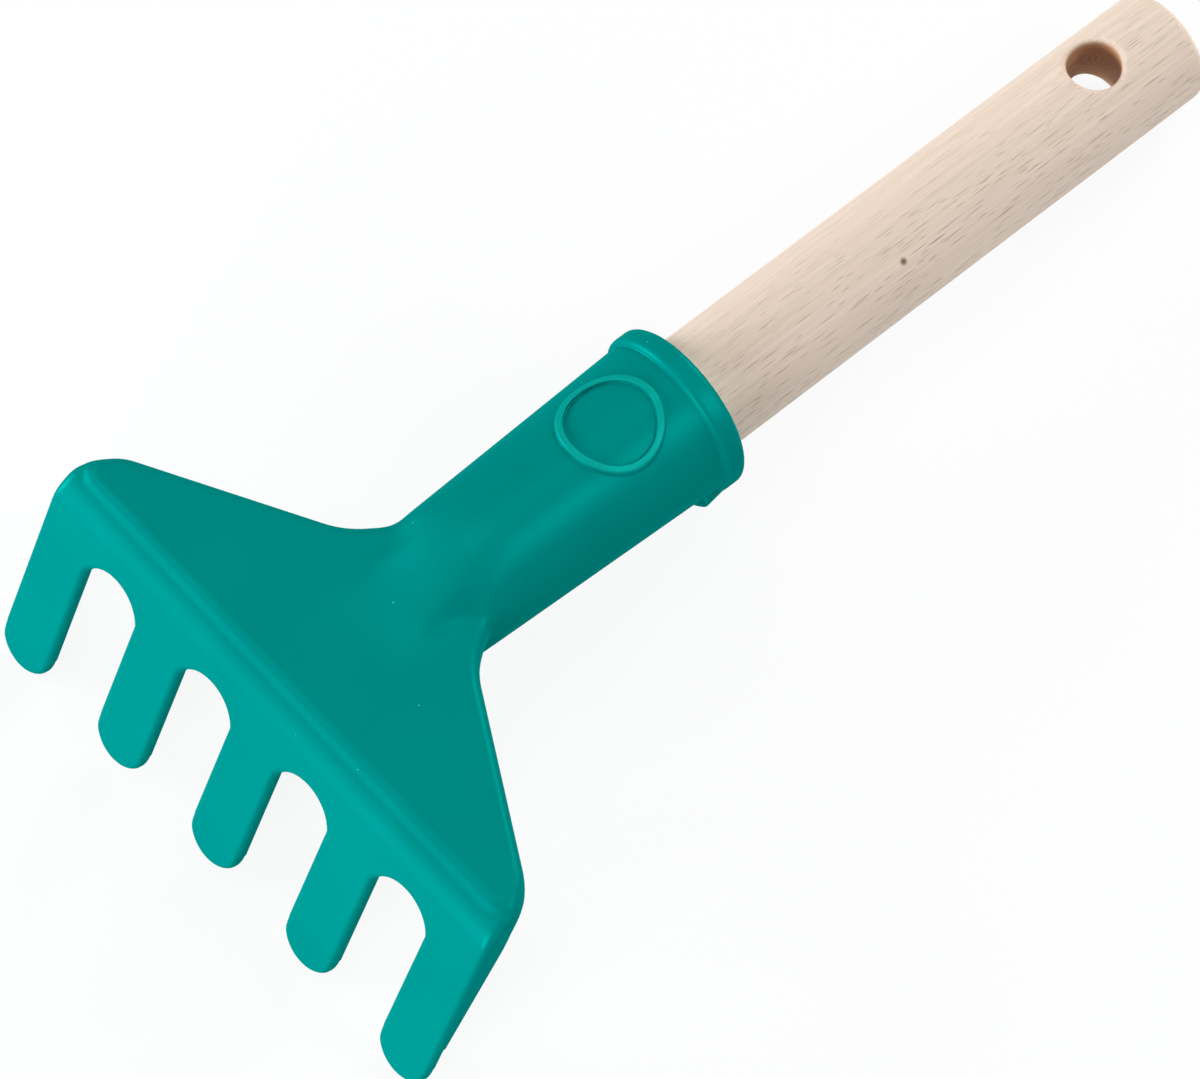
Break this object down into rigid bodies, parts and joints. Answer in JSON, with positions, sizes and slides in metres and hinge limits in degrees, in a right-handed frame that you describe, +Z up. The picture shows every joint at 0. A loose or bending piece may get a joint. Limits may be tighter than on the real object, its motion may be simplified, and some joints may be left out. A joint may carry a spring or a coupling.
{
  "type": "sand rake",
  "caption": "Hand rake for sand: a moulded plastic head with a flared blade, a bent row of round-tipped tines and a socket, screwed to a short turned wooden handle with a hanging hole.",
  "frame": {"origin": "on the ground under the middle of the rake's bounding box, with the rake lying on its tine tips and on the end of its handle", "axes": "+Y along the handle towards its hanging end, seen from above; +X across the head to the right; +Z up"},
  "size_m": [0.1138, 0.2296, 0.0445],
  "materials": {
    "plastic": "satin moulded",
    "wood": "bare, fine sanded beech",
    "steel": "zinc plated"
  },
  "bodies": {
    "root": {"rake_head": "plastic", "handle": "wood", "retaining_screw": "steel"}
  },
  "joints": []
}
